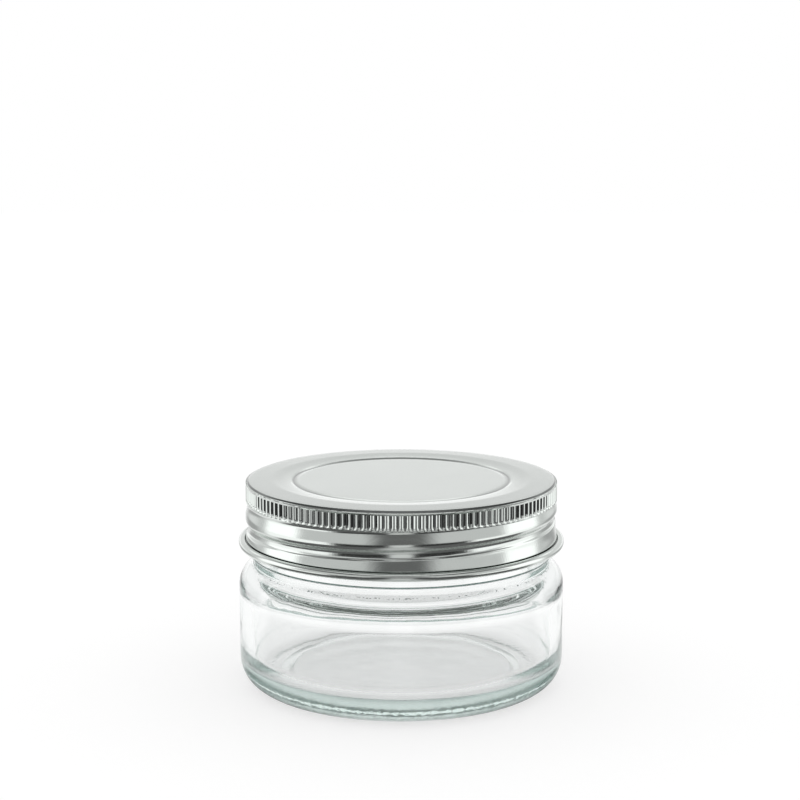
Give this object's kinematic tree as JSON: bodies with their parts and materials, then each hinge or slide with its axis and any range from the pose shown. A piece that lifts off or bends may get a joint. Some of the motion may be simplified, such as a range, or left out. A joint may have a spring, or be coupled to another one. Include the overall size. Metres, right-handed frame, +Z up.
{
  "type": "glass jar with screw cap",
  "caption": "Low wide-mouthed clear glass jar with a knurled one-piece metal screw cap and a sealing ring, empty, for food and dry goods.",
  "frame": {"origin": "centre of the base, on the plane that the jar stands on", "axes": "+Z up along the axis of the jar and cap; the piece is round, so X and Y are only the two level directions, with -Y towards the viewer of the reference picture"},
  "size_m": [0.0754, 0.0754, 0.0481],
  "materials": {
    "clear_glass": "clear flint glass with a faint green cast, fire-polished, slightly uneven",
    "tinplate": "bright lacquered tinplate, finely rolled grain, softly reflecting",
    "sealing_compound": "pale matt moulded sealing compound"
  },
  "bodies": {
    "root": {"jar": "clear_glass", "lid": "tinplate", "gasket": "sealing_compound"}
  },
  "joints": []
}
